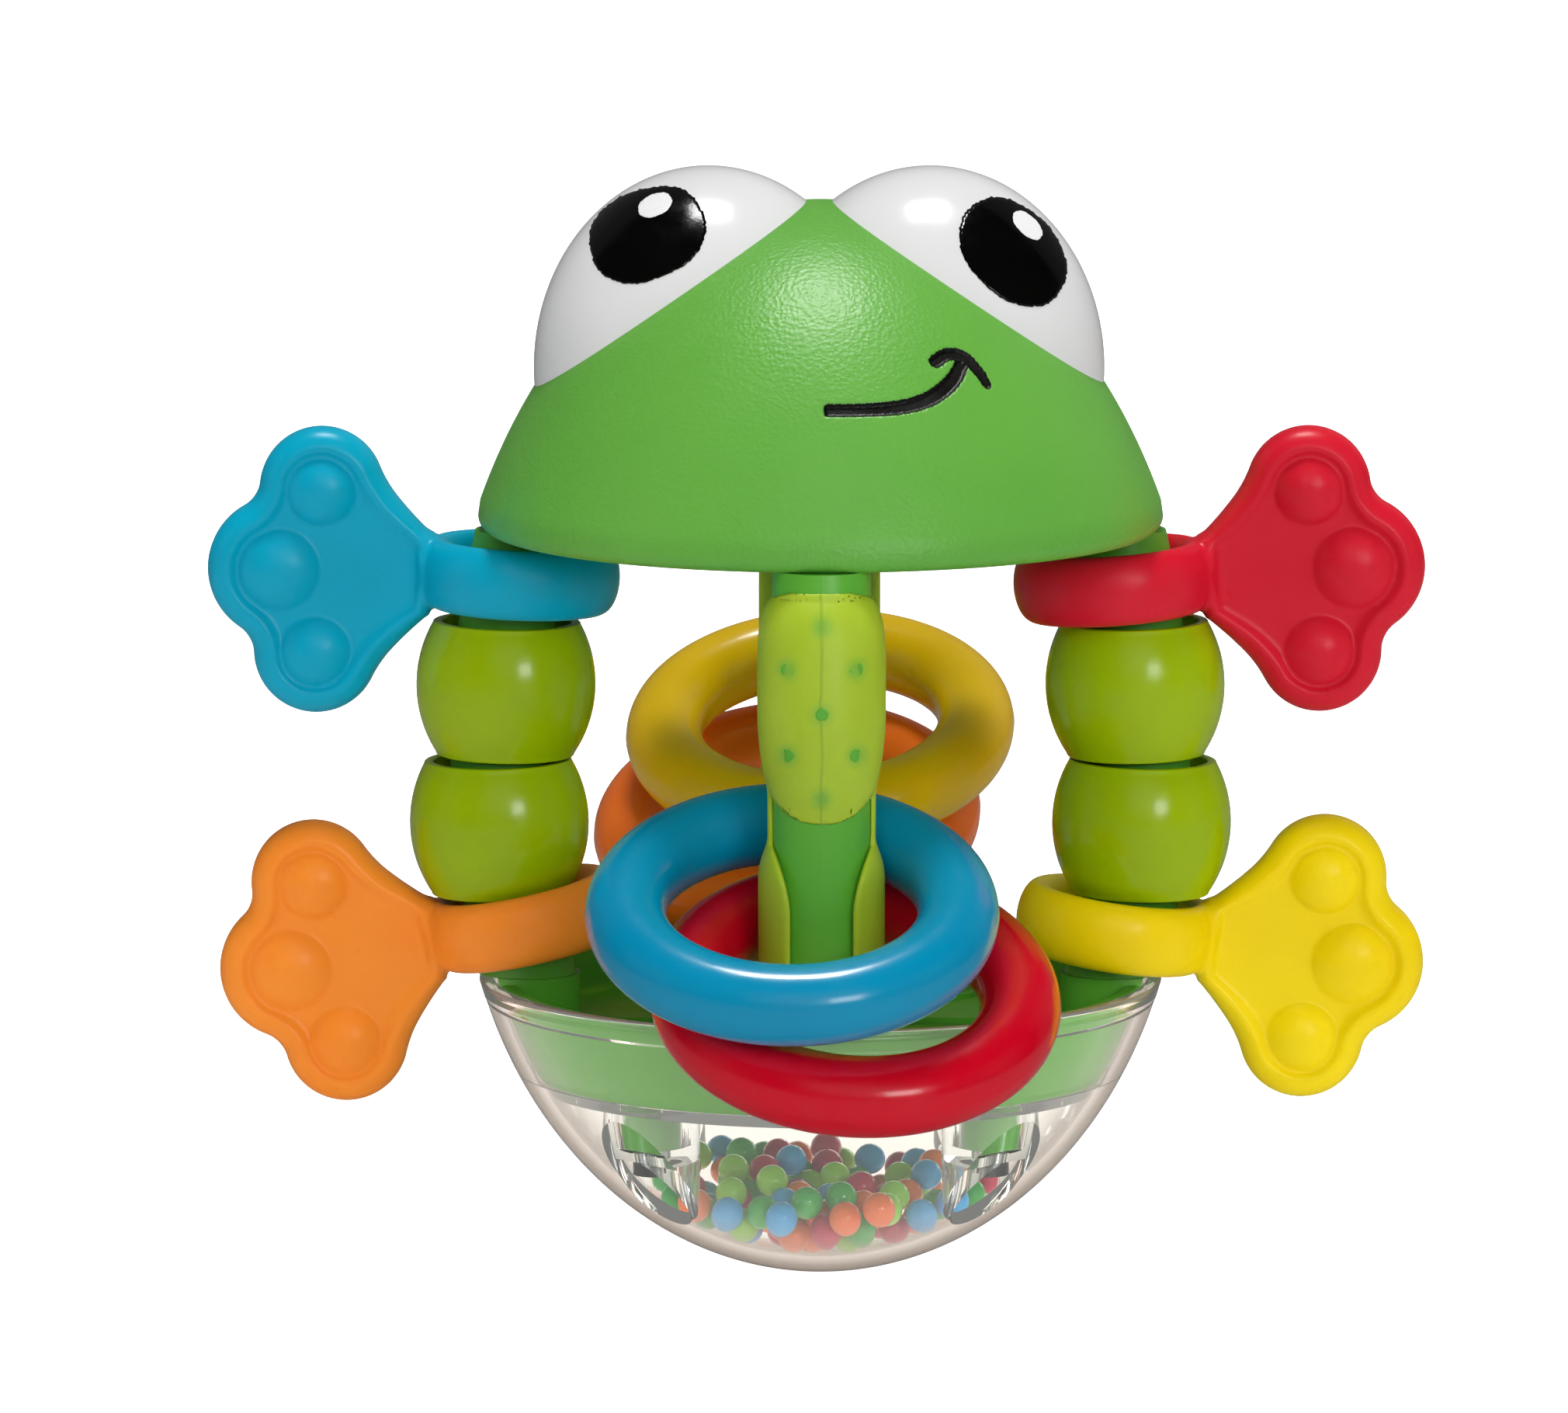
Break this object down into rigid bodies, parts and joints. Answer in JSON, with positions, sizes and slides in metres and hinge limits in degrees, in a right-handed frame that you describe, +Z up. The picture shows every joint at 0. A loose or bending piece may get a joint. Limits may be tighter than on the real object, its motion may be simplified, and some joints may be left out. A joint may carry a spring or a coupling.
{
  "type": "baby rattle",
  "caption": "Frog-shaped baby rattle: domed head on four bowed posts over a clear bowl of balls, with turning hands and feet, beads and teething rings.",
  "frame": {"origin": "lowest point of the clear bowl, on the central axis through the bowl and the head", "axes": "+Z up the central axis, the face looks along -Y, +X to the viewer's right when facing the face"},
  "size_m": [0.1567, 0.1417, 0.1433],
  "materials": {
    "head_green": "satin, fine leather-like grain",
    "eye_white": "high gloss",
    "frame_green": "satin",
    "grip_lime": "soft, slightly translucent",
    "paddle_blue": "satin, fine grain",
    "paddle_red": "satin, fine grain",
    "paddle_orange": "satin, fine grain",
    "paddle_yellow": "satin, fine grain",
    "bead_lime": "gloss",
    "ring_blue": "gloss",
    "ring_red": "gloss",
    "ring_yellow": "gloss",
    "ring_orange": "gloss",
    "clear_bowl": "clear, polished",
    "screw_steel": "plain",
    "ball_coral": "gloss",
    "ball_lime": "gloss",
    "ball_green": "gloss",
    "ball_blue": "gloss",
    "ball_crimson": "gloss"
  },
  "bodies": {
    "cage": {"head_shell": "head_green", "eye_left": "eye_white", "eye_right": "eye_white", "head_plate": "frame_green", "post_front": "frame_green", "post_back": "frame_green", "post_left": "frame_green", "post_right": "frame_green", "grip_front": "grip_lime", "grip_back": "grip_lime", "base_plate": "frame_green", "bowl": "clear_bowl", "chamber_lid": "clear_bowl", "base_screws": "screw_steel"},
    "hand_left": {"hand_left": "paddle_blue"},
    "hand_right": {"hand_right": "paddle_red"},
    "foot_left": {"foot_left": "paddle_orange"},
    "foot_right": {"foot_right": "paddle_yellow"},
    "bead_left_upper": {"bead_left_upper": "bead_lime"},
    "bead_left_lower": {"bead_left_lower": "bead_lime"},
    "bead_right_upper": {"bead_right_upper": "bead_lime"},
    "bead_right_lower": {"bead_right_lower": "bead_lime"},
    "ring_red": {"ring_red": "ring_red"},
    "ring_blue": {"ring_blue": "ring_blue"},
    "ring_orange": {"ring_orange": "ring_orange"},
    "ring_yellow": {"ring_yellow": "ring_yellow"},
    "rattle_balls": {"balls_coral": "ball_coral", "balls_lime": "ball_lime", "balls_green": "ball_green", "balls_blue": "ball_blue", "balls_crimson": "ball_crimson"}
  },
  "joints": [
    {"name": "hand_left_turn", "type": "hinge", "parent": "cage", "child": "hand_left", "pos_m": [-0.0387, 0, 0.0902], "axis": [0.0419, 0, 0.9991], "range_deg": [-56, 56]},
    {"name": "hand_right_turn", "type": "hinge", "parent": "cage", "child": "hand_right", "pos_m": [0.0377, 0, 0.0895], "axis": [-0.0732, 0, 0.9973], "range_deg": [-56, 56]},
    {"name": "foot_left_turn", "type": "hinge", "parent": "cage", "child": "foot_left", "pos_m": [-0.0381, 0, 0.0454], "axis": [-0.1977, 0, 0.9803], "range_deg": [-42, 42]},
    {"name": "foot_right_turn", "type": "hinge", "parent": "cage", "child": "foot_right", "pos_m": [0.0381, 0, 0.0445], "axis": [0.1392, 0, 0.9903], "range_deg": [-42, 42]},
    {"name": "bead_left_upper_spin", "type": "hinge", "parent": "cage", "child": "bead_left_upper", "pos_m": [-0.04052, 0, 0.0759], "axis": [0.0175, 0, 0.9998], "continuous": true},
    {"name": "bead_left_lower_spin", "type": "hinge", "parent": "cage", "child": "bead_left_lower", "pos_m": [-0.04141, 0, 0.0579], "axis": [-0.0175, 0, 0.9998], "continuous": true},
    {"name": "bead_right_upper_spin", "type": "hinge", "parent": "cage", "child": "bead_right_upper", "pos_m": [0.04052, 0, 0.0759], "axis": [-0.0175, 0, 0.9998], "continuous": true},
    {"name": "bead_right_lower_spin", "type": "hinge", "parent": "cage", "child": "bead_right_lower", "pos_m": [0.04141, 0, 0.0579], "axis": [0.0175, 0, 0.9998], "continuous": true},
    {"name": "ring_red_slide", "type": "slide", "parent": "cage", "child": "ring_red", "axis": [0, 0, 1], "range_m": [0, 0.009]},
    {"name": "ring_blue_slide", "type": "slide", "parent": "ring_red", "child": "ring_blue", "axis": [0, 0, 1], "range_m": [0, 0.007]},
    {"name": "ring_orange_slide", "type": "slide", "parent": "cage", "child": "ring_orange", "axis": [0, 0, 1], "range_m": [0, 0.012]},
    {"name": "ring_yellow_slide", "type": "slide", "parent": "ring_orange", "child": "ring_yellow", "axis": [0, 0, 1], "range_m": [0, 0.011]},
    {"name": "rattle_balls_hop", "type": "slide", "parent": "cage", "child": "rattle_balls", "axis": [0, 0, 1], "range_m": [0, 0.006]}
  ]
}
